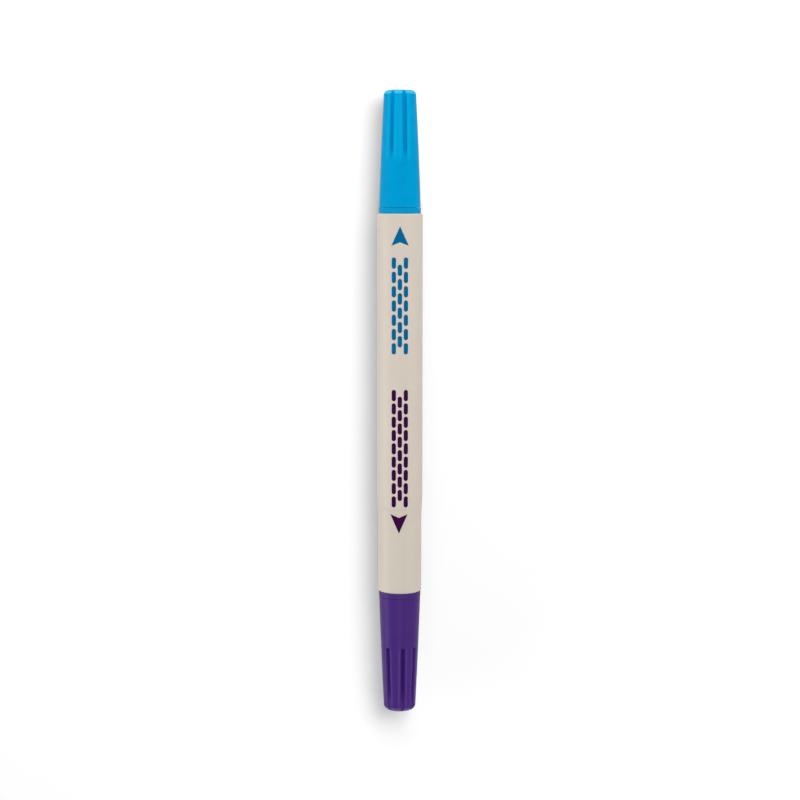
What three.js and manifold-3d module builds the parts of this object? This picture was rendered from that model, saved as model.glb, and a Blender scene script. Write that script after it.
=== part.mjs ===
// A fabric marker pen with a writing tip and a pull-off cap at each end, lying on its side.
// Millimetres, +Z up. The pen lies along Y with its blue end at +Y and its lowest line at z = 0.
import * as THREE from "three";
import { mergeVertices } from "three/addons/utils/BufferGeometryUtils.js";
import Module from "manifold-3d";

const wasm = await Module();
wasm.setup();

// Barrel: a main tube, and a slightly narrower tail tube that plugs into it
const BARREL_LENGTH = 85.3; // both tubes together, from one nib holder's collar to the other's
const BARREL_DIAMETER = 10.2;
const BARREL_WALL = 1.3;
const TAIL_LENGTH = 19.1; // the stretch of the tail tube that shows
const TAIL_STEP = 0.22; // depth of the tail's surface below the main tube's
const SEAM_TAPER = 0.09; // each tube comes this much nearer to the other's surface at the seam
const SEAM_TAPER_LENGTH = 2.4;
const SOCKET_WALL = 0.8; // wall of the main tube round the tail's spigot
const SPIGOT_LENGTH = 8;
const TAIL_BORE_STEP = 0.25; // the tail's bore narrows by this past the nib holder's stem
const RIM_ROUNDING = 0.35;
const SEAM_ROUNDING = 0.05;

// Divider plug in the middle of the main tube, which keeps the two inks apart
const PLUG_LENGTH = 6;
const PLUG_WEB = 1.2;
const PLUG_SKIRT_WALL = 0.8;

// Cap, alike at both ends
const CAP_LENGTH = 25.95;
const CAP_TIP_DIAMETER = 7.1;
const CAP_SIDE_BULGE = 0.05; // how far the side swells beyond a straight taper, at half length
const CAP_WALL = 0.9;
const CAP_END_WALL = 1.2;
const CAP_BORE_DEPTH = 8.6; // the straight bore that fits over the neck
const CAP_INNER_STEP = 0.35; // the cap's inside narrows by this past the bore
const CAP_TIP_ROUNDING = 1;
const CAP_MOUTH_ROUNDING = 0.2;
const CAP_STEP = 0.05; // depth of the cap's mouth below the collar
const CAP_GAP = 0.15; // the line that shows between collar and cap

// Grooves of the cap, run out through its end face
const GROOVE_LENGTH = 14.7;
const GROOVE_RADIUS = 0.55;
const GROOVE_INNER_DEPTH = 0.45;
const GROOVE_TIP_DEPTH = 0.27;
// Their places to either side of the mould's parting plane, in degrees round the cap
const GROOVE_ANGLES = [21.5, 72, 158.5];
// How far each cap happens to be turned on its neck, in degrees
const BLUE_CAP_TURN = 173.5;
const PURPLE_CAP_TURN = -31.75;

// Liner, the inner cap that seals round the snout
const LINER_WALL = 0.5;
const LIP_HEIGHT = 0.2;
const LIP_WIDTH = 1;
const LIP_INSET = 0.3; // from the liner's mouth to its lip

// Nib holder: stem in the barrel, collar, neck under the cap's bore, and snout
const COLLAR_WIDTH = 1.2;
const COLLAR_STEP = 0.4; // depth of the collar below the main tube's surface
const STEM_LENGTH = 10;
const STEM_WALL = 0.8;
const STEM_FLOOR = 2; // solid plastic round the nib at the collar
const STEM_RINGS = 2; // raised rings that grip the bore
const STEM_RING_WIDTH = 0.8;
const STEM_RING_HEIGHT = 0.06;
const SNAP_BEAD_PLACE = 1.8; // from the cap's mouth
const SNAP_BEAD_WIDTH = 0.8;
const SNAP_BEAD_HEIGHT = 0.1;
const SHOULDER_LENGTH = 1.2;
const SNOUT_LIP = 0.5; // wall of the snout round the nib

// Nib and reservoir
const NIB_DIAMETER = 1.8;
const NIB_EXPOSED = 3.2;
const NIB_INSERT = 4.2; // how far the nib reaches into the reservoir
const NIB_POINT_LENGTH = 1.9;
const NIB_POINT_RADIUS = 0.35;
const NIB_ROOM = 2.6; // from the nib's point to the end of the liner
const FILM_THICKNESS = 0.15;

// Clearances
const PRESS_GAP = 0.04; // between pieces that are pressed together
const SEAT_GAP = 0.05; // between faces that seat on each other
const END_GAP = 0.3; // behind a piece that bottoms out in a hole
const NECK_CLEARANCE = 0.15; // round the neck, inside the cap's bore
const SEAL_GAP = 0.05; // between the liner's lip and the snout
const LINER_GAP = 0.1; // round the liner, inside the cap
const FILM_GAP = 0.1; // round the reservoir, inside the tail's narrow bore
const CORE_GAP = 0.05; // between the reservoir's core and its film
const NIB_GAP = 0.05; // round the nib, in the snout and the reservoir

// How finely round pieces are faceted, and how rounded corners are made
const ROUND_SIDES = 32;
const NIB_SIDES = 16;
const CORNER_STEPS = 2;
const CAP_SIDE_STEPS = 5;
const NIB_POINT_STEPS = 4;
const GROOVE_SIDES = 10;
const GROOVE_END_STEPS = 3;
const LONGEST_ROUNDING = 0.45; // of the shorter side beside it
const SAME_POINT = 1e-4; // vertices nearer than this are one

// Radii, from the barrel inwards and then along the cap
const barrelRadius = BARREL_DIAMETER / 2;
const boreRadius = barrelRadius - BARREL_WALL;
const tailRadius = barrelRadius - TAIL_STEP;
const tailBoreRadius = boreRadius - TAIL_BORE_STEP;
const socketRadius = barrelRadius - SOCKET_WALL;
const spigotRadius = socketRadius - PRESS_GAP;
const filmRadius = tailBoreRadius - FILM_GAP;
const coreRadius = filmRadius - FILM_THICKNESS - CORE_GAP;
const collarRadius = barrelRadius - COLLAR_STEP;
const capMouthRadius = collarRadius - CAP_STEP;
const capTipRadius = CAP_TIP_DIAMETER / 2;
const capBoreRadius = capMouthRadius - CAP_WALL;
const capInnerMouthRadius = capBoreRadius - CAP_INNER_STEP;
const capInnerEndRadius = capTipRadius - CAP_WALL;
const linerMouthRadius = capInnerMouthRadius - LINER_GAP;
const linerEndRadius = capInnerEndRadius - LINER_GAP;
const lipRadius = linerMouthRadius - LINER_WALL - LIP_HEIGHT;
const sealRadius = lipRadius - SEAL_GAP;
const neckRadius = capBoreRadius - NECK_CLEARANCE;
const nibRadius = NIB_DIAMETER / 2;
const nibBoreRadius = nibRadius + NIB_GAP;
const snoutTipRadius = nibBoreRadius + SNOUT_LIP;
const stemRingRadius = boreRadius - PRESS_GAP;
const stemRadius = stemRingRadius - STEM_RING_HEIGHT;

// Places along Y from the barrel's middle
const barrelHalf = BARREL_LENGTH / 2;
const seam = TAIL_LENGTH - barrelHalf;

// Places along a marker end, outwards from the barrel's end face
const collarOuter = SEAT_GAP + COLLAR_WIDTH;
const capMouth = collarOuter + CAP_GAP;
const capBoreEnd = capMouth + CAP_BORE_DEPTH;
const capInnerEnd = capMouth + CAP_LENGTH - CAP_END_WALL;
const capTip = capMouth + CAP_LENGTH;
const linerMouth = capBoreEnd + END_GAP;
const linerEnd = capInnerEnd - LINER_GAP;
const lipStart = linerMouth + LIP_INSET;
const lipEnd = lipStart + LIP_WIDTH;
const nibTip = linerEnd - LINER_WALL - NIB_ROOM;
const snoutTip = nibTip - NIB_EXPOSED;
const shoulderEnd = capBoreEnd - END_GAP;
const shoulderStart = shoulderEnd - SHOULDER_LENGTH;
const snapBead = capMouth + SNAP_BEAD_PLACE;
const reservoirFront = -STEM_LENGTH - SEAT_GAP;
const reservoirBack = PLUG_LENGTH / 2 + SEAT_GAP - barrelHalf;
const nibBack = reservoirFront - NIB_INSERT;

// The outline of a turned piece, from corners [radius, height, rounding] listed so that the outer wall
// runs upwards. A piece with a hole through it closes on itself; another starts and ends on the axis.
function outline(corners) {
  const points = corners.map(([radius, height]) => new THREE.Vector2(radius, height));
  const hollow = points[0].x > 0;
  const path = [];
  points.forEach((corner, i) => {
    const rounding = corners[i][2] ?? 0;
    if (rounding === 0) {
      path.push(corner);
      return;
    }
    const before = points.at(i - 1).clone().sub(corner);
    const after = points[(i + 1) % points.length].clone().sub(corner);
    const shortSide = Math.min(before.length(), after.length());
    const bend = Math.PI - Math.acos(before.dot(after) / before.length() / after.length());
    const reach = Math.min(rounding * Math.tan(bend / 2), LONGEST_ROUNDING * shortSide);
    const start = before.setLength(reach).add(corner);
    const end = after.setLength(reach).add(corner);
    path.push(...new THREE.QuadraticBezierCurve(start, corner, end).getPoints(CORNER_STEPS));
  });
  if (hollow) path.push(path[0]);
  return path;
}

// A solid turned round Y. Radii are measured across its flats, and its flats face along X and Z.
function turned(corners, sides = ROUND_SIDES) {
  const cornerScale = 1 / Math.cos(Math.PI / sides);
  const points = outline(corners).map((p) => new THREE.Vector2(p.x * cornerScale, p.y));
  return new THREE.LatheGeometry(points, sides, Math.PI / sides);
}

function toSolid(geometry) {
  const bare = geometry.index ? geometry.toNonIndexed() : geometry.clone();
  bare.deleteAttribute("normal");
  bare.deleteAttribute("uv");
  const merged = mergeVertices(bare, SAME_POINT);
  return new wasm.Manifold(
    new wasm.Mesh({
      numProp: 3,
      vertProperties: merged.attributes.position.array,
      triVerts: new Uint32Array(merged.index.array),
    }),
  );
}

function toGeometry(solid) {
  const mesh = solid.getMesh();
  const geometry = new THREE.BufferGeometry();
  geometry.setAttribute("position", new THREE.BufferAttribute(mesh.vertProperties, 3));
  geometry.setIndex(new THREE.BufferAttribute(mesh.triVerts, 1));
  const flat = geometry.toNonIndexed();
  flat.computeVertexNormals();
  return flat;
}

// Main tube, with a socket for the tail at its lower end
function barrelTube() {
  const socketEnd = seam + SPIGOT_LENGTH + END_GAP;
  return turned([
    [barrelRadius - SEAM_TAPER, seam, SEAM_ROUNDING],
    [barrelRadius, seam + SEAM_TAPER_LENGTH],
    [barrelRadius, barrelHalf, RIM_ROUNDING],
    [boreRadius, barrelHalf],
    [boreRadius, socketEnd],
    [socketRadius, socketEnd],
    [socketRadius, seam],
  ]);
}

// Tail tube, with a spigot that fills the main tube's socket
function barrelTail() {
  const shoulder = seam - SEAT_GAP;
  const spigotEnd = seam + SPIGOT_LENGTH;
  const boreStep = STEM_LENGTH + END_GAP - barrelHalf;
  return turned([
    [tailRadius, -barrelHalf, RIM_ROUNDING],
    [tailRadius, shoulder - SEAM_TAPER_LENGTH],
    [tailRadius + SEAM_TAPER, shoulder, SEAM_ROUNDING],
    [spigotRadius, shoulder],
    [spigotRadius, spigotEnd, RIM_ROUNDING],
    [tailBoreRadius, spigotEnd],
    [tailBoreRadius, boreStep],
    [boreRadius, boreStep],
    [boreRadius, -barrelHalf],
  ]);
}

// Plug of H section, pressed into the main tube
function dividerPlug() {
  const plugRadius = boreRadius - PRESS_GAP;
  const skirtRadius = plugRadius - PLUG_SKIRT_WALL;
  return turned([
    [0, -PLUG_WEB / 2],
    [skirtRadius, -PLUG_WEB / 2],
    [skirtRadius, -PLUG_LENGTH / 2],
    [plugRadius, -PLUG_LENGTH / 2],
    [plugRadius, PLUG_LENGTH / 2],
    [skirtRadius, PLUG_LENGTH / 2],
    [skirtRadius, PLUG_WEB / 2],
    [0, PLUG_WEB / 2],
  ]);
}

// The cap's outer radius at a share of its length, from 0 at the mouth to 1 at the tip
function capRadiusAt(share) {
  const straight = THREE.MathUtils.lerp(capMouthRadius, capTipRadius, share);
  return straight + 4 * CAP_SIDE_BULGE * share * (1 - share);
}

// A round-ended rod that lies along one groove and reaches out past the cap's tip
function grooveCutter(angle) {
  const startShare = 1 - GROOVE_LENGTH / CAP_LENGTH;
  const startRadius = capRadiusAt(startShare) - GROOVE_INNER_DEPTH + GROOVE_RADIUS;
  const tipRadius = capTipRadius - GROOVE_TIP_DEPTH + GROOVE_RADIUS;
  const start = new THREE.Vector3(0, capTip - GROOVE_LENGTH + GROOVE_RADIUS, startRadius);
  const tip = new THREE.Vector3(0, capTip, tipRadius);
  const along = tip.clone().sub(start);
  const rodLength = along.length() + GROOVE_RADIUS;
  const rod = new THREE.CapsuleGeometry(GROOVE_RADIUS, rodLength, GROOVE_END_STEPS, GROOVE_SIDES);
  rod.translate(0, rodLength / 2, 0);
  const upwards = new THREE.Vector3(0, 1, 0);
  rod.applyQuaternion(new THREE.Quaternion().setFromUnitVectors(upwards, along.normalize()));
  rod.translate(start.x, start.y, start.z);
  return rod.rotateY(THREE.MathUtils.degToRad(angle));
}

// Cap with a straight bore, a groove inside for the neck's snap bead, and grooves outside for grip
function capShell(turn) {
  const side = [];
  for (let i = 1; i < CAP_SIDE_STEPS; i++) {
    const share = i / CAP_SIDE_STEPS;
    side.push([capRadiusAt(share), capMouth + share * CAP_LENGTH]);
  }
  const snapRadius = capBoreRadius + SNAP_BEAD_HEIGHT;
  const snapFlat = SNAP_BEAD_WIDTH / 2;
  const snapEdge = snapFlat + SNAP_BEAD_HEIGHT;
  const plain = turned([
    [0, capInnerEnd],
    [capInnerEndRadius, capInnerEnd],
    [capInnerMouthRadius, capBoreEnd],
    [capBoreRadius, capBoreEnd],
    [capBoreRadius, snapBead + snapEdge],
    [snapRadius, snapBead + snapFlat],
    [snapRadius, snapBead - snapFlat],
    [capBoreRadius, snapBead - snapEdge],
    [capBoreRadius, capMouth, CAP_MOUTH_ROUNDING],
    [capMouthRadius, capMouth, CAP_MOUTH_ROUNDING],
    ...side,
    [capTipRadius, capTip, CAP_TIP_ROUNDING],
    [0, capTip],
  ]);
  let cap = toSolid(plain);
  for (const angle of GROOVE_ANGLES) {
    cap = cap.subtract(toSolid(grooveCutter(turn + angle)));
    cap = cap.subtract(toSolid(grooveCutter(turn - angle)));
  }
  return toGeometry(cap);
}

// Inner cap with a sealing lip, which follows the inside of the cap to its end
function capLiner() {
  const wallRadius = (y) => {
    const share = (y - linerMouth) / (linerEnd - linerMouth);
    return THREE.MathUtils.lerp(linerMouthRadius, linerEndRadius, share) - LINER_WALL;
  };
  return turned([
    [0, linerEnd - LINER_WALL],
    [wallRadius(linerEnd - LINER_WALL), linerEnd - LINER_WALL],
    [wallRadius(lipEnd + LIP_HEIGHT), lipEnd + LIP_HEIGHT],
    [lipRadius, lipEnd],
    [lipRadius, lipStart],
    [linerMouthRadius - LINER_WALL, linerMouth],
    [linerMouthRadius, linerMouth],
    [linerEndRadius, linerEnd, LINER_WALL],
    [0, linerEnd],
  ]);
}

// One moulding: ringed stem, collar, neck with its snap bead, shoulder, and snout round the nib
function nibHolder() {
  const cavityRadius = stemRadius - STEM_WALL;
  const rings = [];
  for (let i = 1; i <= STEM_RINGS; i++) {
    const middle = -STEM_LENGTH + (i * STEM_LENGTH) / (STEM_RINGS + 1);
    rings.push([stemRadius, middle - STEM_RING_WIDTH / 2]);
    rings.push([stemRingRadius, middle]);
    rings.push([stemRadius, middle + STEM_RING_WIDTH / 2]);
  }
  return turned([
    [nibBoreRadius, -STEM_FLOOR],
    [cavityRadius, -STEM_FLOOR],
    [cavityRadius, -STEM_LENGTH],
    [stemRadius, -STEM_LENGTH],
    ...rings,
    [stemRadius, SEAT_GAP],
    [collarRadius, SEAT_GAP],
    [collarRadius, collarOuter, CAP_MOUTH_ROUNDING],
    [neckRadius, collarOuter],
    [neckRadius, snapBead - SNAP_BEAD_WIDTH / 2],
    [neckRadius + SNAP_BEAD_HEIGHT, snapBead],
    [neckRadius, snapBead + SNAP_BEAD_WIDTH / 2],
    [neckRadius, shoulderStart, SHOULDER_LENGTH / 2],
    [sealRadius, shoulderEnd],
    [sealRadius, lipEnd],
    [snoutTipRadius, snoutTip, SNOUT_LIP / 2],
    [nibBoreRadius, snoutTip],
  ]);
}

// Fibre rod with a bullet point
function nib() {
  const point = [];
  for (let i = 0; i <= NIB_POINT_STEPS; i++) {
    const turn = (i / NIB_POINT_STEPS) * (Math.PI / 2);
    const radius = NIB_POINT_RADIUS + (nibRadius - NIB_POINT_RADIUS) * Math.cos(turn);
    point.push([radius, nibTip - NIB_POINT_LENGTH * (1 - Math.sin(turn))]);
  }
  return turned([[0, nibBack], [nibRadius, nibBack], ...point, [0, nibTip]], NIB_SIDES);
}

// Fibre rod that holds the ink, with a blind hole for the back of the nib
function reservoirCore() {
  const holeEnd = nibBack - END_GAP;
  return turned([
    [0, reservoirBack],
    [coreRadius, reservoirBack],
    [coreRadius, reservoirFront],
    [nibBoreRadius, reservoirFront],
    [nibBoreRadius, holeEnd],
    [0, holeEnd],
  ]);
}

// Thin film wrapped round the fibre rod
function reservoirFilm() {
  return turned([
    [filmRadius, reservoirBack],
    [filmRadius, reservoirFront],
    [filmRadius - FILM_THICKNESS, reservoirFront],
    [filmRadius - FILM_THICKNESS, reservoirBack],
  ]);
}

// Finishes
const plastic = (color, roughness) => new THREE.MeshStandardMaterial({ color, roughness, metalness: 0 });
const barrelFinish = plastic(0xd9cfbf, 0.5);
const plugFinish = plastic(0xe9e7e0, 0.55);
const linerFinish = plastic(0xe9e7e0, 0.55);
const filmFinish = plastic(0xdfe6ea, 0.3);
const blueInk = { cap: plastic(0x05a2da, 0.35), holder: plastic(0x0592cd, 0.35) };
const purpleInk = { cap: plastic(0x49307e, 0.35), holder: plastic(0x402a72, 0.35) };
blueInk.nib = plastic(0x2f7fc4, 0.95);
blueInk.core = plastic(0x6fb0dc, 1);
purpleInk.nib = plastic(0x6a3fa0, 0.95);
purpleInk.core = plastic(0xa184c4, 1);

function piece(name, geometry, material) {
  const mesh = new THREE.Mesh(geometry, material);
  mesh.name = name;
  return mesh;
}

// Everything at one end of the pen, with the barrel's end face at y = 0
function markerEnd(ink, finish, capTurn) {
  const end = new THREE.Group();
  end.add(
    piece(`${ink}_cap_shell`, capShell(capTurn), finish.cap),
    piece(`${ink}_cap_liner`, capLiner(), linerFinish),
    piece(`${ink}_nib_holder`, nibHolder(), finish.holder),
    piece(`${ink}_nib`, nib(), finish.nib),
    piece(`${ink}_reservoir_core`, reservoirCore(), finish.core),
    piece(`${ink}_reservoir_film`, reservoirFilm(), filmFinish),
  );
  return end;
}

const pen = new THREE.Group();
pen.position.z = barrelRadius;
pen.add(
  piece("barrel_tube", barrelTube(), barrelFinish),
  piece("barrel_tail", barrelTail(), barrelFinish),
  piece("divider_plug", dividerPlug(), plugFinish),
);

const blueEnd = markerEnd("blue", blueInk, BLUE_CAP_TURN);
blueEnd.position.y = barrelHalf;
pen.add(blueEnd);

const purpleEnd = markerEnd("purple", purpleInk, PURPLE_CAP_TURN);
purpleEnd.position.y = -barrelHalf;
purpleEnd.rotation.z = Math.PI;
pen.add(purpleEnd);

export default pen;
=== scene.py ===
import math

import bmesh
import bpy
from mathutils import Matrix, Vector


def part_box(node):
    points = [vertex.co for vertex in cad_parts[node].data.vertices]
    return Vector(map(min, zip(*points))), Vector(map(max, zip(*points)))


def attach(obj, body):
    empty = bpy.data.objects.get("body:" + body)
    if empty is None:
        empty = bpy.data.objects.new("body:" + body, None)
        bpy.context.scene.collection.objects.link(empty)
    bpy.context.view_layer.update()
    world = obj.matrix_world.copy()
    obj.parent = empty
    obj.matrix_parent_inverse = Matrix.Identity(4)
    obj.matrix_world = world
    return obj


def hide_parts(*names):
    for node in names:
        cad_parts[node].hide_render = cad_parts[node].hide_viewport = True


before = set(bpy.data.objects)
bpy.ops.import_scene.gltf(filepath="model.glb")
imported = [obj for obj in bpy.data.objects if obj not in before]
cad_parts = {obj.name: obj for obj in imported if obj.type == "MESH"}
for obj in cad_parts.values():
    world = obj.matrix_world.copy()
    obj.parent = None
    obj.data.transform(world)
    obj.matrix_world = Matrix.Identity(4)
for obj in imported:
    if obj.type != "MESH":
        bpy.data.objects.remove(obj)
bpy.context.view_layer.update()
MM = 0.001


# Sizes taken from the frame

def span(node, axis):
    """The lowest and highest place of a CAD node along an axis, in millimetres."""
    low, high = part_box(node)
    return low[axis] / MM, high[axis] / MM


def radius_of(node):
    low, high = span(node, 2)
    return (high - low) / 2


def along_end(node):
    """Where a node of the blue end starts and stops, outwards from the barrel's end face."""
    low, high = span(node, 1)
    return low - BARREL_END, high - BARREL_END


SEAM, BARREL_END = span("barrel_tube", 1)
SPIGOT_END = span("barrel_tail", 1)[1]
AXIS_HEIGHT = sum(span("barrel_tube", 2)) / 2
BARREL_RADIUS = radius_of("barrel_tube")
COLLAR_RADIUS = radius_of("blue_nib_holder")
CAP_MOUTH_RADIUS = radius_of("blue_cap_shell")
LINER_MOUTH_RADIUS = radius_of("blue_cap_liner")
NIB_RADIUS = radius_of("blue_nib")
CORE_RADIUS = radius_of("blue_reservoir_core")
FILM_RADIUS = radius_of("blue_reservoir_film")
PLUG_RADIUS = radius_of("divider_plug")
STEM_END, SNOUT_TIP = along_end("blue_nib_holder")
NIB_BACK, NIB_TIP = along_end("blue_nib")
CAP_MOUTH, CAP_TIP = along_end("blue_cap_shell")
LINER_MOUTH, LINER_END = along_end("blue_cap_liner")
RESERVOIR_BACK, RESERVOIR_FRONT = along_end("blue_reservoir_core")
PLUG_START, PLUG_END = span("divider_plug", 1)

# Sizes that no box of the frame gives
BARREL_WALL = 1.3
SOCKET_WALL = 0.8
TAIL_BORE_STEP = 0.25
RIM_ROUNDING = 0.35
SEAM_ROUNDING = 0.05
SEAM_TAPER = 0.09
SEAM_TAPER_LENGTH = 2.4
SEAM_CLOSED_TO = 0.005  # the line between the two tubes is finer than the CAD's gap
PLUG_WEB = 1.2
PLUG_SKIRT_WALL = 0.8
PLUG_ROUNDING = 0.15
CAP_TIP_RADIUS = 3.55
CAP_SIDE_BULGE = 0.05
CAP_WALL = 0.9
CAP_END_WALL = 1.2
CAP_BORE_DEPTH = 8.6
CAP_INNER_STEP = 0.35
CAP_TIP_ROUNDING = 1
CAP_MOUTH_ROUNDING = 0.12  # finer than the CAD's
CAP_CLOSED_BY = {"blue": 0.08, "purple": 0.13}  # which makes the line between cap and collar finer too
LINER_WALL = 0.5
LIP_HEIGHT = 0.2
LIP_WIDTH = 1
LIP_INSET = 0.3
COLLAR_WIDTH = 1.2
STEM_WALL = 0.8
STEM_FLOOR = 2
STEM_RINGS = 2
STEM_RING_WIDTH = 0.8
STEM_RING_HEIGHT = 0.06
SNAP_BEAD_PLACE = 1.8
SNAP_BEAD_WIDTH = 0.8
SNAP_BEAD_HEIGHT = 0.1
NECK_SHOULDER_LENGTH = 1.2
SNOUT_LIP = 0.5
NIB_POINT_LENGTH = 1.9
NIB_POINT_RADIUS = 0.35
PRESS_GAP = 0.04
SEAT_GAP = 0.05
END_GAP = 0.3
NECK_CLEARANCE = 0.15
SEAL_GAP = 0.05
NIB_GAP = 0.05
FILM_THICKNESS = 0.15

# Grooves of the caps. The inner ends of the blue cap's run out to a point, the purple cap's end square.
GROOVE_LENGTH = 14.7
GROOVE_HALF_WIDTH = 0.62
GROOVE_INNER_DEPTH = 0.45
GROOVE_TIP_DEPTH = 0.27
GROOVE_FLOOR_SHARE = 0.42  # of its half width that is flat at the bottom
WALL_FADE = 2.2  # how much faster a groove's painted shade fades up its walls than its depth does
GROOVE_ANGLES = [21.5, 72, 158.5]
CAP_TURNS = {"blue": 173.5, "purple": -31.75}
GROOVE_RUN_OUTS = {"blue": 1.6, "purple": 0.35}
GROOVE_END_WIDTHS = {"blue": 0.45, "purple": 0.9}  # share of the width at the very end
GROOVE_TIP_FADES = {"blue": 2.4, "purple": 6}  # how far from the tip a groove's painted shade starts to fade
STRIP_MIDDLE = 1.3  # of the groove's half width, where the painted highlight strip beside it is brightest
STRIP_REACH = 0.45  # from there towards the groove
STRIP_FADES = {"blue": 1.8, "purple": 0.45}  # and away from it
STRIP_LEADS = {"blue": 1.5, "purple": 0}  # how far the strip runs on past the groove's inner end
STRIP_RISE = 0.5  # over which length it fades in there
STRIP_HIGHLIGHT_MARK = 0.3  # the mark for the painted highlight strip at its brightest, where 1 is the rim's full painted glint
RIM_GLINT_STRENGTH = 1.3  # sets how bright the painted glint on the tip's rounding gets
GATE_RADIUS = 0.8  # the moulding gate's shallow recess in the middle of the cap's end
GATE_FLOOR_RADIUS = 0.68
GATE_DEPTH = 0.15
GATE_STUB_RADIUS = 0.3  # and the stub of plastic that is left standing in it
GATE_STUB_TOP_RADIUS = 0.27
GATE_STUB_HEIGHT = 0.075

# How finely things are made
ROUND_STEPS = 144
INNER_ROUND_STEPS = 72
CORNER_STEPS = 6
NIB_POINT_STEPS = 10
END_FACE_STEPS = 4
CAP_PLAIN_STEPS = 12  # along the cap, from its mouth to its grooves
CAP_RUN_OUT_STEPS = 14  # over the inner ends of the grooves
CAP_GROOVED_STEPS = 30  # and from there to the tip
CAP_ANGLE_STEP = 3  # in degrees, between the grooves
GROOVE_ANGLE_STEP = 0.7  # and across them
GROOVE_ANGLE_REACH = 14.7  # to each side of a groove's middle
SMALLEST_RADIUS = 1e-6  # a point nearer to the axis lies on it
EDGE_SUPPORT = 0.06  # from a rounding to the ring that keeps the flat beside it flat
SHORTEST_SUPPORTED = 4 * EDGE_SUPPORT
LONGEST_QUAD = 4
SHARP_ANGLE = math.radians(35)
LONGEST_ROUNDING = 0.45  # of the shorter side beside it

# Radii and places worked out from those above
TAIL_RADIUS = radius_of("barrel_tail") - SEAM_TAPER
BORE_RADIUS = BARREL_RADIUS - BARREL_WALL
TAIL_BORE_RADIUS = BORE_RADIUS - TAIL_BORE_STEP
SOCKET_RADIUS = BARREL_RADIUS - SOCKET_WALL
SPIGOT_RADIUS = SOCKET_RADIUS - PRESS_GAP
CAP_BORE_RADIUS = CAP_MOUTH_RADIUS - CAP_WALL
CAP_INNER_MOUTH_RADIUS = CAP_BORE_RADIUS - CAP_INNER_STEP
CAP_INNER_END_RADIUS = CAP_TIP_RADIUS - CAP_WALL
LINER_END_RADIUS = LINER_MOUTH_RADIUS + CAP_INNER_END_RADIUS - CAP_INNER_MOUTH_RADIUS
LIP_RADIUS = LINER_MOUTH_RADIUS - LINER_WALL - LIP_HEIGHT
SEAL_RADIUS = LIP_RADIUS - SEAL_GAP
NECK_RADIUS = CAP_BORE_RADIUS - NECK_CLEARANCE
NIB_BORE_RADIUS = NIB_RADIUS + NIB_GAP
SNOUT_TIP_RADIUS = NIB_BORE_RADIUS + SNOUT_LIP
STEM_RADIUS = BORE_RADIUS - PRESS_GAP - STEM_RING_HEIGHT
COLLAR_OUTER = SEAT_GAP + COLLAR_WIDTH
CAP_BORE_END = CAP_MOUTH + CAP_BORE_DEPTH
CAP_INNER_END = CAP_TIP - CAP_END_WALL
CAP_LENGTH = CAP_TIP - CAP_MOUTH
CAP_SIDE_START = CAP_MOUTH + 2 * CAP_MOUTH_ROUNDING  # clear of the mouth's rounding
CAP_SIDE_END = CAP_TIP - CAP_TIP_ROUNDING
GROOVE_START = CAP_TIP - GROOVE_LENGTH
SNAP_BEAD = CAP_MOUTH + SNAP_BEAD_PLACE
LIP_START = LINER_MOUTH + LIP_INSET
LIP_END = LIP_START + LIP_WIDTH
NECK_SHOULDER_END = CAP_BORE_END - END_GAP
NECK_SHOULDER_START = NECK_SHOULDER_END - NECK_SHOULDER_LENGTH

# Where the pen's own frame and the frames of its two ends lie
ON_AXIS = Matrix.Translation((0, 0, AXIS_HEIGHT))
END_PLACES = {
    "blue": Matrix.Translation((0, BARREL_END, AXIS_HEIGHT)),
    "purple": Matrix.Translation((0, -BARREL_END, AXIS_HEIGHT)) @ Matrix.Rotation(math.pi, 4, "Z"),
}


# Mesh tools

def lerp(a, b, share):
    return a + (b - a) * share


def steps_between(start, end, count):
    """Even steps from start, which is left out, to end."""
    return [lerp(start, end, i / count) for i in range(1, count + 1)]


def smooth_step(share):
    share = min(max(share, 0), 1)
    return share * share * (3 - 2 * share)


def rounded(corners, closed):
    """The outline through corners (radius, place) or (radius, place, rounding), with true arcs."""
    points = [Vector(corner[:2]) for corner in corners]
    path = []
    for i, corner in enumerate(corners):
        if len(corner) == 2:
            path.append(points[i])
            continue
        before = points[i - 1] - points[i]
        after = points[(i + 1) % len(points)] - points[i]
        half_bend = (math.pi - before.angle(after)) / 2
        short_side = min(before.length, after.length)
        reach = min(corner[2] * math.tan(half_bend), LONGEST_ROUNDING * short_side)
        start = points[i] + before.normalized() * reach
        end = points[i] + after.normalized() * reach
        weight = math.cos(half_bend)
        for step in range(CORNER_STEPS + 1):
            t = step / CORNER_STEPS
            shares = (1 - t) ** 2, 2 * t * (1 - t) * weight, t ** 2
            path.append((start * shares[0] + points[i] * shares[1] + end * shares[2]) / sum(shares))
    return with_supports(path, closed)


def with_supports(path, closed):
    """The same outline with a ring near each end of its straight runs, and rings along the long ones."""
    supported = []
    pairs = list(zip(path, path[1:] + path[:1])) if closed else list(zip(path, path[1:]))
    for start, end in pairs:
        supported.append(start)
        length = (end - start).length
        if length < SHORTEST_SUPPORTED:
            continue
        near = start.lerp(end, EDGE_SUPPORT / length)
        far = end.lerp(start, EDGE_SUPPORT / length)
        count = max(1, math.ceil(length / LONGEST_QUAD))
        supported += [near.lerp(far, i / count) for i in range(count + 1)]
    if not closed:
        supported.append(path[-1])
    return supported


def even_angles(steps):
    return [2 * math.pi * i / steps for i in range(steps)]


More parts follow.
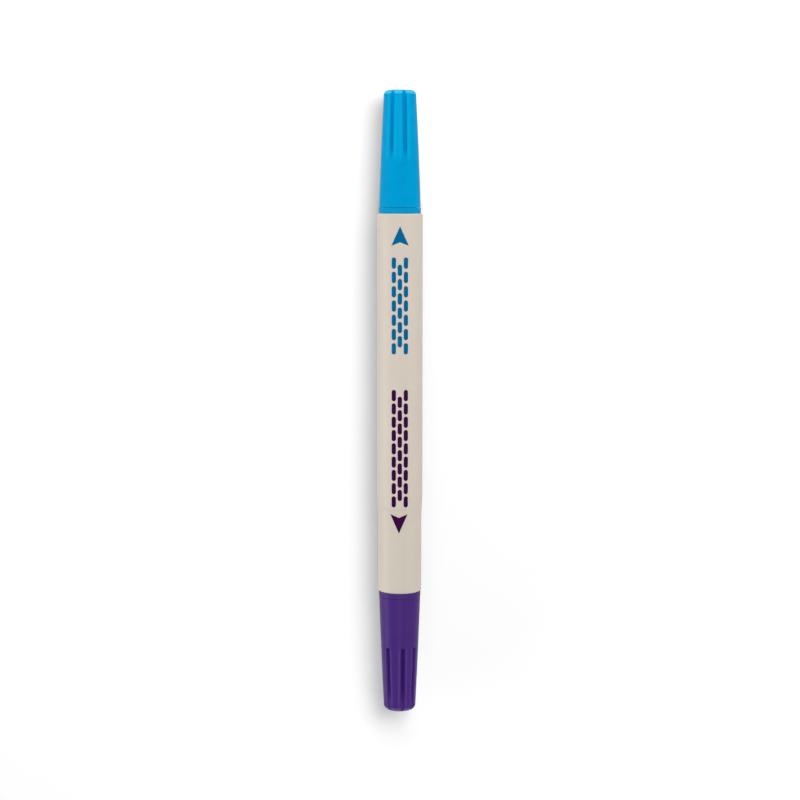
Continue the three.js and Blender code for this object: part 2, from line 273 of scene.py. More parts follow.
def revolve(name, place, angles, outline_at, closed):
    """A mesh turned round the pen's axis, whose outline may change with the angle. The outer wall runs
    outwards along the axis, and an outline that isn't closed starts and ends on the axis. A point of it is
    its radius and its place, and its painted mark where that isn't 0: above 0 painted shade in a groove,
    below 0 a painted highlight."""
    mesh = bmesh.new()
    painted_shade_and_highlight = mesh.verts.layers.float.new("painted_shade_and_highlight")
    outlines = [outline_at(angle) for angle in angles]
    rings = []
    for i in range(len(outlines[0])):
        if outlines[0][i][0] < SMALLEST_RADIUS:
            rings.append([mesh.verts.new((0, outlines[0][i][1], 0))])
            continue
        ring = []
        for angle, outline in zip(angles, outlines):
            radius, along, *rest = outline[i]
            vert = mesh.verts.new((radius * math.sin(angle), along, radius * math.cos(angle)))
            vert[painted_shade_and_highlight] = rest[0] if rest else 0
            ring.append(vert)
        rings.append(ring)
    ring_pairs = list(zip(rings, rings[1:] + rings[:1])) if closed else list(zip(rings, rings[1:]))
    for lower, upper in ring_pairs:
        for j in range(len(angles)):
            k = (j + 1) % len(angles)
            if len(lower) == 1:
                mesh.faces.new((lower[0], upper[k], upper[j]))
            elif len(upper) == 1:
                mesh.faces.new((lower[j], lower[k], upper[0]))
            else:
                mesh.faces.new((lower[j], lower[k], upper[k], upper[j]))
    return piece(name, mesh, place)


def add(name, data):
    """A new object in the scene."""
    made = bpy.data.objects.new(name, data)
    bpy.context.scene.collection.objects.link(made)
    return made


def piece(name, mesh, place):
    """An object from a mesh in millimetres, smooth but for its sharp edges, with its place in its mesh."""
    mesh.transform(Matrix.Scale(MM, 4) @ place)
    for face in mesh.faces:
        face.smooth = True
    for edge in mesh.edges:
        edge.smooth = edge.calc_face_angle(math.pi) < SHARP_ANGLE
    data = bpy.data.meshes.new(name)
    mesh.to_mesh(data)
    mesh.free()
    return add(name, data)


def turned(name, place, corners, steps=ROUND_STEPS):
    closed = corners[0][0] > 0
    path = rounded(corners, closed)
    return revolve(name, place, even_angles(steps), lambda angle: path, closed)


def dress(made, material, body, slot, *nodes):
    """Gives a piece its material and its body, and hides the CAD nodes that it stands for; the slot is not
    used.
    """
    made.data.materials.append(material)
    made.visible_diffuse = False  # the floor stays free of its colour, and the lamps still cast its shadow
    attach(made, body)
    if nodes:
        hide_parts(*nodes)
    return made


# Pieces of the barrel

def barrel_tube():
    socket_end = SPIGOT_END + END_GAP
    rim = SEAM - SEAT_GAP + SEAM_CLOSED_TO
    return turned("barrel_tube_skin", ON_AXIS, [
        (BARREL_RADIUS - SEAM_TAPER, rim, SEAM_ROUNDING),
        (BARREL_RADIUS, SEAM + SEAM_TAPER_LENGTH),
        (BARREL_RADIUS, BARREL_END, RIM_ROUNDING),
        (BORE_RADIUS, BARREL_END),
        (BORE_RADIUS, socket_end),
        (SOCKET_RADIUS, socket_end),
        (SOCKET_RADIUS, rim),
    ])


def barrel_tail():
    shoulder = SEAM - SEAT_GAP
    bore_step = END_GAP - STEM_END - BARREL_END
    return turned("barrel_tail_skin", ON_AXIS, [
        (TAIL_RADIUS, -BARREL_END, RIM_ROUNDING),
        (TAIL_RADIUS, shoulder - SEAM_TAPER_LENGTH),
        (TAIL_RADIUS + SEAM_TAPER, shoulder, SEAM_ROUNDING),
        (SPIGOT_RADIUS, shoulder),
        (SPIGOT_RADIUS, SPIGOT_END, RIM_ROUNDING),
        (TAIL_BORE_RADIUS, SPIGOT_END),
        (TAIL_BORE_RADIUS, bore_step),
        (BORE_RADIUS, bore_step),
        (BORE_RADIUS, -BARREL_END),
    ])


def divider_plug():
    skirt_radius = PLUG_RADIUS - PLUG_SKIRT_WALL
    return turned("divider_plug_skin", ON_AXIS, [
        (0, -PLUG_WEB / 2),
        (skirt_radius, -PLUG_WEB / 2, PLUG_ROUNDING),
        (skirt_radius, PLUG_START, PLUG_ROUNDING),
        (PLUG_RADIUS, PLUG_START, PLUG_ROUNDING),
        (PLUG_RADIUS, PLUG_END, PLUG_ROUNDING),
        (skirt_radius, PLUG_END, PLUG_ROUNDING),
        (skirt_radius, PLUG_WEB / 2, PLUG_ROUNDING),
        (0, PLUG_WEB / 2),
    ], INNER_ROUND_STEPS)


# Pieces of one end, in a frame whose Y runs outwards from the barrel's end face

def cap_radius_at(place):
    """A straight taper from mouth to tip, which bulges by CAP_SIDE_BULGE halfway."""
    share = (place - CAP_MOUTH) / CAP_LENGTH
    return lerp(CAP_MOUTH_RADIUS, CAP_TIP_RADIUS, share) + 4 * CAP_SIDE_BULGE * share * (1 - share)


def groove_centres(ink):
    turn = CAP_TURNS[ink]
    return [math.radians(turn + side * angle) for angle in GROOVE_ANGLES for side in (-1, 1)]


def angle_between(a, b):
    return abs((a - b + math.pi) % (2 * math.pi) - math.pi)


def groove_at(ink, angle, place):
    """How deep a groove lies at a point of the cap's side, how much painted shade the point gets from the
    groove, and how much painted highlight from the strip along the groove's edge."""
    inwards = place - GROOVE_START
    nearest = min(angle_between(angle, centre) for centre in groove_centres(ink)) * cap_radius_at(place)
    arrival = smooth_step(inwards / GROOVE_RUN_OUTS[ink])
    half_width = GROOVE_HALF_WIDTH * lerp(GROOVE_END_WIDTHS[ink], 1, arrival)
    up_wall = (nearest / half_width - GROOVE_FLOOR_SHARE) / (1 - GROOVE_FLOOR_SHARE)
    share = 1 - smooth_step(up_wall) if inwards > 0 else 0
    deepest = lerp(GROOVE_INNER_DEPTH, GROOVE_TIP_DEPTH, inwards / GROOVE_LENGTH)
    # The painted highlight strip along each groove's edge
    outwards = nearest / GROOVE_HALF_WIDTH - STRIP_MIDDLE
    reach = STRIP_REACH if outwards < 0 else STRIP_FADES[ink]
    lead = STRIP_LEADS[ink]
    strip_arrival = smooth_step((inwards + lead) / (lead + STRIP_RISE))
    painted_highlight = STRIP_HIGHLIGHT_MARK * strip_arrival * max(0, 1 - abs(outwards) / reach)
    return deepest * arrival * share, share ** WALL_FADE, painted_highlight


def cap_angles(ink):
    """Angles round the cap, close together across each groove and wide apart between them."""
    centres = groove_centres(ink)
    reach = math.radians(GROOVE_ANGLE_REACH)
    angles = [
        angle for angle in range(0, 360, CAP_ANGLE_STEP)
        if all(angle_between(math.radians(angle), centre) > reach for centre in centres)
    ]
    count = round(GROOVE_ANGLE_REACH / GROOVE_ANGLE_STEP)
    for centre in centres:
        middle = math.degrees(centre)
        angles += [(middle + GROOVE_ANGLE_STEP * i) % 360 for i in range(-count, count + 1)]
    return [math.radians(angle) for angle in sorted(angles)]


def cap_places(ink):
    """Places along the cap's side, close together at the inner ends of its grooves."""
    run_out_end = GROOVE_START + GROOVE_RUN_OUTS[ink]
    return (
        [CAP_SIDE_START]
        + steps_between(CAP_SIDE_START, GROOVE_START, CAP_PLAIN_STEPS)
        + steps_between(GROOVE_START, run_out_end, CAP_RUN_OUT_STEPS)
        + steps_between(run_out_end, CAP_SIDE_END, CAP_GROOVED_STEPS)
    )


def cap_shell(ink):
    snap_radius = CAP_BORE_RADIUS + SNAP_BEAD_HEIGHT
    snap_flat = SNAP_BEAD_WIDTH / 2
    snap_edge = snap_flat + SNAP_BEAD_HEIGHT
    mouth = CAP_MOUTH - CAP_CLOSED_BY[ink]
    inside = rounded([
        (0, CAP_INNER_END),
        (CAP_INNER_END_RADIUS, CAP_INNER_END),
        (CAP_INNER_MOUTH_RADIUS, CAP_BORE_END),
        (CAP_BORE_RADIUS, CAP_BORE_END),
        (CAP_BORE_RADIUS, SNAP_BEAD + snap_edge),
        (snap_radius, SNAP_BEAD + snap_flat),
        (snap_radius, SNAP_BEAD - snap_flat),
        (CAP_BORE_RADIUS, SNAP_BEAD - snap_edge),
        (CAP_BORE_RADIUS, mouth, CAP_MOUTH_ROUNDING),
        (CAP_MOUTH_RADIUS, mouth, CAP_MOUTH_ROUNDING),
        (cap_radius_at(CAP_SIDE_START), CAP_SIDE_START),
    ], closed=False)[:-1]
    gate_floor = CAP_TIP - GATE_DEPTH
    gate = [
        (GATE_FLOOR_RADIUS, gate_floor),
        (GATE_STUB_RADIUS, gate_floor),
        (GATE_STUB_TOP_RADIUS, gate_floor + GATE_STUB_HEIGHT),
        (0, gate_floor + GATE_STUB_HEIGHT),
    ]
    places = cap_places(ink)

    def side_point(angle, y, worn_off, rim_glint):
        """A point of the outer side, worn_off below the straight side where no groove is, with its painted
        mark, which is above 0 for painted shade in a groove and below 0 for a painted highlight."""
        depth, share, strip_highlight = groove_at(ink, angle, y)
        radius = cap_radius_at(y)
        painted_highlight = max(strip_highlight, rim_glint) * (1 - share)
        share *= smooth_step((CAP_TIP - y) / GROOVE_TIP_FADES[ink])
        return radius - max(depth, worn_off), y, share - painted_highlight

    def outline_at(angle):
        side = [side_point(angle, y, 0, 0) for y in places]
        edge = []
        for step in range(CORNER_STEPS + 1):
            turn = step / CORNER_STEPS * math.pi / 2
            y = CAP_TIP - CAP_TIP_ROUNDING * (1 - math.sin(turn))
            worn_off = CAP_TIP_ROUNDING * (1 - math.cos(turn))
            # A painted glint on the tip's rounding, brightest about 35 degrees round it
            rim_glint = RIM_GLINT_STRENGTH * math.sin(2 * turn) * math.cos(turn)
            edge.append(side_point(angle, y, worn_off, rim_glint))
        rim = edge[-1][0]
        end_face = [(radius, CAP_TIP) for radius in steps_between(rim, GATE_RADIUS, END_FACE_STEPS)]
        return [tuple(point) for point in inside] + side + edge + end_face + gate

    return revolve(f"{ink}_cap_skin", END_PLACES[ink], cap_angles(ink), outline_at, closed=False)


def cap_liner(ink):
    def wall_radius(place):
        share = (place - LINER_MOUTH) / (LINER_END - LINER_MOUTH)
        return lerp(LINER_MOUTH_RADIUS, LINER_END_RADIUS, share) - LINER_WALL

    floor = LINER_END - LINER_WALL
    lip_foot = LIP_END + LIP_HEIGHT
    return turned(f"{ink}_cap_liner_skin", END_PLACES[ink], [
        (0, floor),
        (wall_radius(floor), floor, LINER_WALL / 2),
        (wall_radius(lip_foot), lip_foot),
        (LIP_RADIUS, LIP_END, LIP_HEIGHT / 2),
        (LIP_RADIUS, LIP_START, LIP_HEIGHT / 2),
        (LINER_MOUTH_RADIUS - LINER_WALL, LINER_MOUTH),
        (LINER_MOUTH_RADIUS, LINER_MOUTH),
        (LINER_END_RADIUS, LINER_END, LINER_WALL),
        (0, LINER_END),
    ], INNER_ROUND_STEPS)


def nib_holder(ink):
    cavity_radius = STEM_RADIUS - STEM_WALL
    rings = []
    for i in range(1, STEM_RINGS + 1):
        middle = STEM_END - i * STEM_END / (STEM_RINGS + 1)
        rings.append((STEM_RADIUS, middle - STEM_RING_WIDTH / 2))
        rings.append((STEM_RADIUS + STEM_RING_HEIGHT, middle, STEM_RING_WIDTH))
        rings.append((STEM_RADIUS, middle + STEM_RING_WIDTH / 2))
    return turned(f"{ink}_nib_holder_skin", END_PLACES[ink], [
        (NIB_BORE_RADIUS, -STEM_FLOOR),
        (cavity_radius, -STEM_FLOOR),
        (cavity_radius, STEM_END),
        (STEM_RADIUS, STEM_END, CAP_MOUTH_ROUNDING),
        *rings,
        (STEM_RADIUS, SEAT_GAP),
        (COLLAR_RADIUS, SEAT_GAP),
        (COLLAR_RADIUS, COLLAR_OUTER, CAP_MOUTH_ROUNDING),
        (NECK_RADIUS, COLLAR_OUTER),
        (NECK_RADIUS, SNAP_BEAD - SNAP_BEAD_WIDTH / 2),
        (NECK_RADIUS + SNAP_BEAD_HEIGHT, SNAP_BEAD, SNAP_BEAD_WIDTH),
        (NECK_RADIUS, SNAP_BEAD + SNAP_BEAD_WIDTH / 2),
        (NECK_RADIUS, NECK_SHOULDER_START, NECK_SHOULDER_LENGTH / 2),
        (SEAL_RADIUS, NECK_SHOULDER_END, NECK_SHOULDER_LENGTH / 4),
        (SEAL_RADIUS, LIP_END, SNOUT_LIP),
        (SNOUT_TIP_RADIUS, SNOUT_TIP, SNOUT_LIP / 2),
        (NIB_BORE_RADIUS, SNOUT_TIP),
    ])


def nib(ink):
    point = []
    for i in range(NIB_POINT_STEPS + 1):
        turn = i / NIB_POINT_STEPS * math.pi / 2
        radius = lerp(NIB_POINT_RADIUS, NIB_RADIUS, math.cos(turn))
        point.append((radius, NIB_TIP - NIB_POINT_LENGTH * (1 - math.sin(turn))))
    corners = [(0, NIB_BACK), (NIB_RADIUS, NIB_BACK), *point, (0, NIB_TIP)]
    return turned(f"{ink}_nib_skin", END_PLACES[ink], corners, INNER_ROUND_STEPS)


def reservoir_core(ink):
    hole_end = NIB_BACK - END_GAP
    return turned(f"{ink}_reservoir_core_skin", END_PLACES[ink], [
        (0, RESERVOIR_BACK),
        (CORE_RADIUS, RESERVOIR_BACK),
        (CORE_RADIUS, RESERVOIR_FRONT),
        (NIB_BORE_RADIUS, RESERVOIR_FRONT),
        (NIB_BORE_RADIUS, hole_end),
        (0, hole_end),
    ], INNER_ROUND_STEPS)


def reservoir_film(ink):
    return turned(f"{ink}_reservoir_film_skin", END_PLACES[ink], [
        (FILM_RADIUS, RESERVOIR_BACK),
        (FILM_RADIUS, RESERVOIR_FRONT),
        (FILM_RADIUS - FILM_THICKNESS, RESERVOIR_FRONT),
        (FILM_RADIUS - FILM_THICKNESS, RESERVOIR_BACK),
    ], INNER_ROUND_STEPS)


# Print on the barrel: an arrow towards each cap, and rows of running stitches behind it

INK_ABOVE = 0.012
INK_BELOW = 0.012
PRINT_BEND = 0.15  # the print bends round the barrel at lines this far apart
ARROW_LENGTH = 4.35
ARROW_HALF_WIDTH = 1.97
ARROW_NOTCH = 0.8
ARROWS = {"blue": (0.04, 39.88, 1), "purple": (-0.18, -28.84, -1)}  # X and Y of the tip, its way along Y
STITCH_ROWS = [-1.36, 0, 1.36]  # X of each row
STITCH_LENGTH = 2.55
STITCH_WIDTH = 1
STITCH_PITCH = 3.1  # or nearly so, for whole stitches to fill a zone
STITCH_ZONES = {"blue": (11.4, 33), "purple": (-22.95, 3.5)}  # from Y to Y
STITCH_END_STEPS = 8


def barrel_radius_at(y):
    """Both tubes taper a little where they meet."""
    if y > SEAM:
        return BARREL_RADIUS - SEAM_TAPER * max(0, 1 - (y - SEAM) / SEAM_TAPER_LENGTH)
    return TAIL_RADIUS + SEAM_TAPER * max(0, 1 - (SEAM - y) / SEAM_TAPER_LENGTH)


def printed(name, shapes):
    """Flat shapes, lists of (x, y), laid round the barrel as a thin film of ink."""
    mesh = bmesh.new()
    for shape in shapes:
        mesh.faces.new([mesh.verts.new((x, y, 0)) for x, y in shape])
    widest = max(abs(vert.co.x) for vert in mesh.verts)
    lines = math.ceil(widest / PRINT_BEND)
    cuts = [((i * PRINT_BEND, 0, 0), (1, 0, 0)) for i in range(-lines, lines + 1)]
    cuts += [((0, SEAM + side * SEAM_TAPER_LENGTH, 0), (0, 1, 0)) for side in (-1, 1)]
    for point, normal in cuts:
        everything = mesh.verts[:] + mesh.edges[:] + mesh.faces[:]
        bmesh.ops.bisect_plane(mesh, geom=everything, plane_co=point, plane_no=normal)
    for face in mesh.faces:
        if face.normal.z < 0:
            face.normal_flip()
    top = bmesh.ops.extrude_face_region(mesh, geom=mesh.faces[:])["geom"]
    raised = {item for item in top if isinstance(item, bmesh.types.BMVert)}
    for vert in mesh.verts:
        radius = barrel_radius_at(vert.co.y)
        height = radius + (INK_ABOVE if vert in raised else -INK_BELOW)
        angle = vert.co.x / radius
        vert.co = Vector((height * math.sin(angle), vert.co.y, height * math.cos(angle)))
    bmesh.ops.recalc_face_normals(mesh, faces=mesh.faces[:])
    return piece(name, mesh, ON_AXIS)


def arrow(ink):
    x, tip, way = ARROWS[ink]
    base = tip - way * ARROW_LENGTH
    return printed(f"{ink}_arrow_print", [[
        (x, tip),
        (x - ARROW_HALF_WIDTH, base),
        (x, base + way * ARROW_NOTCH),
        (x + ARROW_HALF_WIDTH, base),
    ]])


def stitch(x, y):
    """A dash with round ends, from y upwards."""
    half = STITCH_WIDTH / 2
    turns = [math.pi * i / STITCH_END_STEPS for i in range(STITCH_END_STEPS + 1)]
    top = [(x + half * math.cos(t), y + STITCH_LENGTH - half + half * math.sin(t)) for t in turns]
    bottom = [(x - half * math.cos(t), y + half - half * math.sin(t)) for t in turns]
    return top + bottom


def stitches(ink):
    """Rows that fill the zone, every second one shifted by half a pitch and one stitch shorter."""
    start, end = STITCH_ZONES[ink]
    count = round((end - start - STITCH_LENGTH) / STITCH_PITCH)
    pitch = (end - start - STITCH_LENGTH) / count
    shapes = []
    for row, x in enumerate(STITCH_ROWS):
        shifted = row % 2
        first = start + shifted * pitch / 2
        shapes += [stitch(x, first + i * pitch) for i in range(count + 1 - shifted)]
    return printed(f"{ink}_stitch_print", shapes)


# Node tools

def map_range(tree, source, low, high, source_low=0, source_high=1):
    """Runs the source's range from low to high."""
    node = tree.nodes.new("ShaderNodeMapRange")
    node.inputs["From Min"].default_value = source_low
    node.inputs["From Max"].default_value = source_high
    node.inputs["To Min"].default_value = low
    node.inputs["To Max"].default_value = high
    tree.links.new(source, node.inputs["Value"])
    return node.outputs["Result"]


def maths(tree, operation, a, b, clamped=False):
    node = tree.nodes.new("ShaderNodeMath")
    node.operation = operation
    node.use_clamp = clamped
    tree.links.new(a, node.inputs[0])
    tree.links.new(b, node.inputs[1])
    return node.outputs["Value"]


# Materials

PATTERN_LOW = 0.3  # nearly all values of a noise pattern lie between these two
PATTERN_HIGH = 0.7


def shaded(colour, factor):
    return tuple(channel * factor for channel in colour)


class Surface:
    """A Principled material whose colour, roughness and relief vary over the surface."""

    def __init__(self, name, roughness, specular, sheen=(1, 1, 1)):
        self.material = bpy.data.materials.new(name)
        self.material.use_nodes = True
        self.tree = self.material.node_tree
        self.shader = self.tree.nodes["Principled BSDF"]
        self.shader.inputs["Roughness"].default_value = roughness
        self.shader.inputs["Specular IOR Level"].default_value = specular
        self.shader.inputs["Specular Tint"].default_value = (*sheen, 1)
        self.place = self.tree.nodes.new("ShaderNodeTexCoord").outputs["Object"]
        self.relief = None

    def feed(self, target, source):
        """Sets a socket to a number or an RGB tuple, or links another socket to it."""
        if isinstance(source, tuple):
            target.default_value = (*source, 1)
        elif isinstance(source, float):
            target.default_value = source
        else:
            self.tree.links.new(source, target)

    def pattern(self, size, detail=3, stretch=1):
        """Noise with features of this size in millimetres, drawn out along the pen by stretch."""
        mapping = self.tree.nodes.new("ShaderNodeMapping")
        mapping.inputs["Scale"].default_value = (1, 1 / stretch, 1)
        noise = self.tree.nodes.new("ShaderNodeTexNoise")
        noise.inputs["Scale"].default_value = 1 / (size * MM)
        noise.inputs["Detail"].default_value = detail
        self.feed(mapping.inputs["Vector"], self.place)
        self.feed(noise.inputs["Vector"], mapping.outputs["Vector"])
        return noise.outputs["Fac"]

    def spread(self, pattern, low, high):
        """Runs a pattern's values from low to high."""
        return map_range(self.tree, pattern, low, high, PATTERN_LOW, PATTERN_HIGH)

    def mix(self, share, a, b):
        """Mixes two colours, each an RGB tuple or a socket, by a number or a socket."""
        node = self.tree.nodes.new("ShaderNodeMix")
        node.data_type = "RGBA"
        self.feed(node.inputs["Factor"], share)
        self.feed(node.inputs["A"], a)
        self.feed(node.inputs["B"], b)
        return node.outputs["Result"]

    def uneven(self, colour, darkest, lightest, size, detail=3, stretch=1):
        """The colour in patches, from darkest to lightest times as bright."""
        patches = self.spread(self.pattern(size, detail, stretch), 0, 1)
        return self.mix(patches, shaded(colour, darkest), shaded(colour, lightest))

    def marked(self, name):
        """What the mesh says about each of its points under this name."""
        mark = self.tree.nodes.new("ShaderNodeAttribute")
        mark.attribute_name = name
        return mark.outputs["Fac"]

    def colour(self, socket):
        self.feed(self.shader.inputs["Base Color"], socket)

    def roughness(self, socket):
        self.feed(self.shader.inputs["Roughness"], socket)

    def bump(self, pattern, height):
        """Adds relief of this height in millimetres."""
        bump = self.tree.nodes.new("ShaderNodeBump")
        bump.inputs["Distance"].default_value = height * MM
        self.feed(bump.inputs["Height"], pattern)
        if self.relief:
            self.feed(bump.inputs["Normal"], self.relief)
        self.relief = bump.outputs["Normal"]
        self.feed(self.shader.inputs["Normal"], self.relief)


def barrel_plastic(name, colour):
    """Drawn tube: faint lines along it, a fine grain, and a slight cloudiness in the colour."""
    surface = Surface(name, roughness=0.5, specular=0.39)
    cloudy = surface.uneven(colour, darkest=0.975, lightest=1.02, size=5, detail=2)
    speckled = surface.uneven(colour, darkest=0.97, lightest=1.02, size=0.25, detail=2)
    surface.colour(surface.mix(0.5, cloudy, speckled))
    surface.roughness(surface.spread(surface.pattern(size=0.6), low=0.42, high=0.54))
    surface.bump(surface.pattern(size=0.35, detail=2, stretch=40), height=0.004)
    surface.bump(surface.pattern(size=0.12, detail=2), height=0.004)
    return surface.material


def moulded_plastic(name, colour, roughness, specular, sheen=(1, 1, 1), marked_colours=None):
    """Polished mould finish: even colour, small changes of gloss, and a very fine grain. The marked colours
    are painted shade in the grooves, painted highlights on the strips beside them and a painted glint on
    the tip's rim."""
    surface = Surface(name, roughness, specular, sheen)
    shown = surface.uneven(colour, darkest=0.95, lightest=1.04, size=3)
    gloss = surface.spread(surface.pattern(size=0.8), low=roughness - 0.05, high=roughness + 0.06)
    if marked_colours:
        groove_shade_colour, strip_highlight_colour, rim_glint_colour = marked_colours
        painted_shade_and_highlight = surface.marked("painted_shade_and_highlight")
        in_strip = map_range(surface.tree, painted_shade_and_highlight, 0, 1, 0, -STRIP_HIGHLIGHT_MARK)
        on_rim = map_range(surface.tree, painted_shade_and_highlight, 0, 1, -STRIP_HIGHLIGHT_MARK, -1)
        # painted highlight on the strips beside the grooves
        shown = surface.mix(in_strip, shown, strip_highlight_colour)
        # painted glint on the tip's rounded rim
        shown = surface.mix(on_rim, shown, rim_glint_colour)
        # painted shade in the grooves
        shown = surface.mix(painted_shade_and_highlight, shown, groove_shade_colour)
        duller = map_range(surface.tree, painted_shade_and_highlight, 0, GROOVE_DULLER)
        gloss = maths(surface.tree, "ADD", gloss, duller)
    surface.colour(shown)
    surface.roughness(gloss)
    surface.bump(surface.pattern(size=0.18, detail=2), height=0.003)
    surface.bump(surface.pattern(size=2.5, detail=1), height=0.006)
    return surface.material


def printed_ink(name, colour):
    """Pad-printed ink: a little uneven, and duller than the barrel round it."""
    surface = Surface(name, roughness=0.4, specular=0.02)
    surface.colour(surface.uneven(colour, darkest=0.85, lightest=1.15, size=0.35))
    surface.roughness(surface.spread(surface.pattern(size=0.4), low=0.34, high=0.5))
    surface.bump(surface.pattern(size=0.15, detail=2), height=0.003)
    return surface.material


def ink_fibre(name, colour, strand):
    """Bonded fibres that run along the pen, this thick in millimetres, soaked with ink unevenly."""
    surface = Surface(name, roughness=0.9, specular=0.2)
    strands = surface.pattern(strand, stretch=14)
    soaked = surface.uneven(colour, darkest=0.6, lightest=0.85, size=0.9, detail=2, stretch=3)
    surface.colour(surface.mix(surface.spread(strands, 0, 1), soaked, shaded(colour, 1.2)))
    surface.roughness(surface.spread(strands, low=0.8, high=1))
    surface.bump(strands, height=0.05)
    return surface.material


def clear_film(name, colour):
    """Thin plastic film wrapped round the fibre, with fine wrinkles."""
    surface = Surface(name, roughness=0.2, specular=0.5)
    surface.colour(surface.uneven(colour, darkest=0.92, lightest=1, size=1.5))
    surface.roughness(surface.spread(surface.pattern(size=0.7), low=0.15, high=0.3))
    surface.bump(surface.pattern(size=0.5, stretch=6), height=0.03)
    surface.shader.inputs["Alpha"].default_value = FILM_ALPHA
    return surface.material


TUBE_COLOUR = (0.562, 0.498, 0.428)
TAIL_COLOUR = (0.549, 0.497, 0.42)
CAP_COLOURS = {"blue": (0.0004, 0.2865, 0.5658), "purple": (0.0525, 0.0163, 0.16)}
# The groove colours are painted shade, the strip colours painted highlights and the rim colours a painted
# glint
GROOVE_SHADE_COLOURS = {"blue": (0.0004, 0.217, 0.505), "purple": (0.026, 0.003, 0.1)}
STRIP_HIGHLIGHT_COLOURS = {"blue": (0.002, 0.345, 0.65), "purple": (0.0758, 0.0324, 0.199)}
RIM_GLINT_COLOURS = {"blue": (0.06, 0.46, 0.72), "purple": (0.17, 0.1, 0.33)}
HOLDER_COLOURS = {"blue": (0.002, 0.27, 0.532), "purple": (0.053, 0.0185, 0.148)}
CAP_ROUGHNESS = 0.38
GROOVE_DULLER = 0.4  # how much rougher a cap is in its grooves
CAP_SPECULAR = {"blue": 0.02, "purple": 0.1}
CAP_SHEENS = {"blue": (0.05, 0.8, 1), "purple": (1, 1, 1)}
PRINT_COLOURS = {"blue": (0.0004, 0.112, 0.262), "purple": (0.034, 0.002, 0.044)}
NIB_COLOURS = {"blue": (0.02, 0.18, 0.5), "purple": (0.12, 0.035, 0.32)}
CORE_COLOURS = {"blue": (0.16, 0.43, 0.72), "purple": (0.36, 0.23, 0.55)}
NATURAL_COLOUR = (0.76, 0.74, 0.68)
FILM_COLOUR = (0.74, 0.79, 0.82)
FILM_ALPHA = 0.6
NIB_STRAND = 0.12
CORE_STRAND = 0.25


def build_pen():
    tube_plastic = barrel_plastic("barrel_plastic", TUBE_COLOUR)
    tail_plastic = barrel_plastic("barrel_tail_plastic", TAIL_COLOUR)
    natural_plastic = moulded_plastic("natural_plastic", NATURAL_COLOUR, roughness=0.5, specular=0.4)
    film = clear_film("wrap_film", FILM_COLOUR)
    dress(barrel_tube(), tube_plastic, "barrel", "barrel_plastic", "barrel_tube")
    dress(barrel_tail(), tail_plastic, "barrel", "barrel_plastic", "barrel_tail")
    dress(divider_plug(), natural_plastic, "barrel", "natural_plastic", "divider_plug")
    for ink in ("blue", "purple"):
        cap_body = f"{ink}_cap"
        plastic_slot = f"{ink}_plastic"
        finish = CAP_ROUGHNESS, CAP_SPECULAR[ink], CAP_SHEENS[ink]
        marked = GROOVE_SHADE_COLOURS[ink], STRIP_HIGHLIGHT_COLOURS[ink], RIM_GLINT_COLOURS[ink]
        cap_plastic = moulded_plastic(f"{ink}_cap_plastic", CAP_COLOURS[ink], *finish, marked)
        holder_plastic = moulded_plastic(f"{ink}_holder_plastic", HOLDER_COLOURS[ink], *finish)
        nib_fibre = ink_fibre(f"{ink}_nib_fibre", NIB_COLOURS[ink], NIB_STRAND)
        core_fibre = ink_fibre(f"{ink}_ink_fibre", CORE_COLOURS[ink], CORE_STRAND)
        print_ink = printed_ink(f"{ink}_print_ink", PRINT_COLOURS[ink])
        dress(cap_shell(ink), cap_plastic, cap_body, plastic_slot, f"{ink}_cap_shell")
        dress(cap_liner(ink), natural_plastic, cap_body, "natural_plastic", f"{ink}_cap_liner")
        dress(nib_holder(ink), holder_plastic, "barrel", plastic_slot, f"{ink}_nib_holder")
        dress(nib(ink), nib_fibre, "barrel", f"{ink}_nib_fibre", f"{ink}_nib")
        dress(reservoir_core(ink), core_fibre, "barrel", f"{ink}_ink_fibre", f"{ink}_reservoir_core")
        dress(reservoir_film(ink), film, "barrel", "wrap_film", f"{ink}_reservoir_film")
        dress(arrow(ink), print_ink, "barrel", plastic_slot)
        dress(stitches(ink), print_ink, "barrel", plastic_slot)


# Surroundings, in metres

WORLD_LIGHT = 0.13
FLOOR_COLOUR = 0.9
FLOOR_MARGIN = 0.125  # what camera rays see added, so that only a shadow shows on the white floor
FLOOR_SIZE = 6
WHITE_FROM = 0.17  # beyond this distance the floor turns to plain white
WHITE_AT = 0.42  # and is plain white from this one on


def seen_directly(tree):
    """1 for camera, glossy and transmission rays, which see the white background, and 0 for others."""
    path = tree.nodes.new("ShaderNodeLightPath")
    total = path.outputs["Is Camera Ray"]
    for ray in ("Is Glossy Ray", "Is Transmission Ray"):
        total = maths(tree, "ADD", total, path.outputs[ray], clamped=True)
    return total


def make_world():
    world = bpy.data.worlds.new("studio")
    world.use_nodes = True
    bpy.context.scene.world = world
    tree = world.node_tree
    background = tree.nodes["Background"]
    background.inputs["Color"].default_value = (1, 1, 1, 1)
    strength = map_range(tree, seen_directly(tree), WORLD_LIGHT, 1)
    tree.links.new(strength, background.inputs["Strength"])


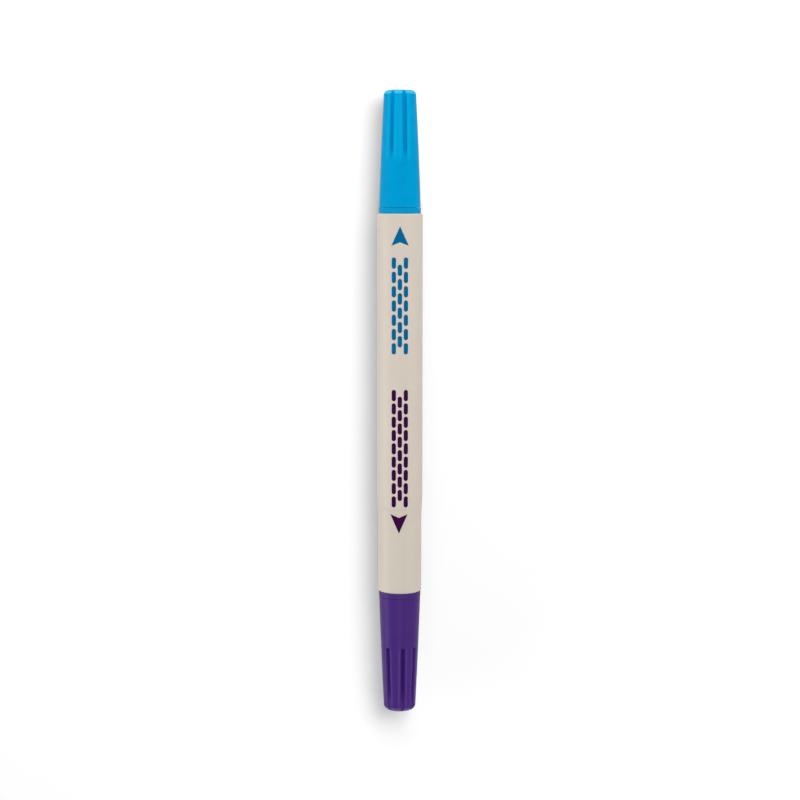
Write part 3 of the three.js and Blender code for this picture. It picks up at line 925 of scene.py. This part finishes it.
def floor_material():
    """A white surface that shows the pen's shadow, and plain white further away."""
    material = bpy.data.materials.new("white_floor")
    material.use_nodes = True
    tree = material.node_tree
    tree.nodes.remove(tree.nodes["Principled BSDF"])
    diffuse = tree.nodes.new("ShaderNodeBsdfDiffuse")
    diffuse.inputs["Color"].default_value = (FLOOR_COLOUR, FLOOR_COLOUR, FLOOR_COLOUR, 1)
    place = tree.nodes.new("ShaderNodeTexCoord").outputs["Object"]
    distance = tree.nodes.new("ShaderNodeVectorMath")
    distance.operation = "LENGTH"
    tree.links.new(place, distance.inputs[0])
    added = map_range(tree, distance.outputs["Value"], FLOOR_MARGIN, 1, WHITE_FROM, WHITE_AT)
    glow = tree.nodes.new("ShaderNodeEmission")
    tree.links.new(maths(tree, "MULTIPLY", added, seen_directly(tree)), glow.inputs["Strength"])
    both = tree.nodes.new("ShaderNodeAddShader")
    tree.links.new(diffuse.outputs["BSDF"], both.inputs[0])
    tree.links.new(glow.outputs["Emission"], both.inputs[1])
    tree.links.new(both.outputs[0], tree.nodes["Material Output"].inputs["Surface"])
    return material


def make_floor():
    mesh = bmesh.new()
    bmesh.ops.create_grid(mesh, x_segments=1, y_segments=1, size=FLOOR_SIZE / 2)
    data = bpy.data.meshes.new("floor")
    mesh.to_mesh(data)
    mesh.free()
    data.materials.append(floor_material())
    floor = add("floor", data)


def softbox(name, elevation, turn, distance, width, length, level):
    """A panel of light aimed at the pen. Elevation is above the floor, and turn is its bearing from +X
    towards +Y, in degrees. Length is its level side. Level is what it gives a surface that faces it,
    where 1 shows a colour as written."""
    up = math.radians(elevation)
    bearing = math.radians(turn)
    way = Vector((math.cos(up) * math.cos(bearing), math.cos(up) * math.sin(bearing), math.sin(up)))
    data = bpy.data.lights.new(name, "AREA")
    data.shape = "RECTANGLE"
    data.size = length
    data.size_y = width
    data.energy = level * math.pi ** 2 * distance ** 2
    data.cycles.use_multiple_importance_sampling = False
    lamp = add(name, data)
    lamp.location = way * distance
    lamp.visible_camera = False
    # Its light leaves along its own -Z
    level_side = Vector((0, 0, 1)).cross(way).normalized()
    other_side = way.cross(level_side)
    lamp.rotation_euler = Matrix((level_side, other_side, way)).transposed().to_euler()


def make_lights():
    softbox("key", elevation=55, turn=50, distance=0.9, width=0.5, length=0.6, level=0.637)
    softbox("right", elevation=45, turn=0, distance=0.9, width=0.4, length=1.2, level=0.221)
    softbox("back", elevation=35, turn=90, distance=0.9, width=0.4, length=0.8, level=0.27)
    softbox("low_left", elevation=9, turn=180, distance=0.8, width=0.25, length=1.2, level=0.8)
    softbox("strip", elevation=75, turn=-90, distance=0.9, width=0.35, length=0.12, level=0.141)


CAMERA_PLACE = Vector((0.00012, 0.0488, 0.4229))
CAMERA_TARGET = Vector((0.00003, 0.01757, 0.0051))
CAMERA_ROLL = math.radians(0.04)
CAMERA_SHIFT = -0.0935  # the photograph's frame lies below the middle of its camera's view
FIELD_OF_VIEW = math.radians(24.207)


def make_camera():
    data = bpy.data.cameras.new("camera")
    data.sensor_fit = "HORIZONTAL"
    data.angle = FIELD_OF_VIEW
    data.shift_y = CAMERA_SHIFT
    camera = add("camera", data)
    camera.location = CAMERA_PLACE
    backwards = (CAMERA_PLACE - CAMERA_TARGET).normalized()
    rightwards = Vector((0, 1, 0)).cross(backwards).normalized()
    upwards = backwards.cross(rightwards)
    level_view = Matrix((rightwards, upwards, backwards)).transposed()
    camera.rotation_euler = (level_view @ Matrix.Rotation(CAMERA_ROLL, 3, "Z")).to_euler()
    bpy.context.scene.camera = camera


make_camera()
make_world()
make_floor()
make_lights()
build_pen()
bpy.context.scene.view_settings.view_transform = "Standard"
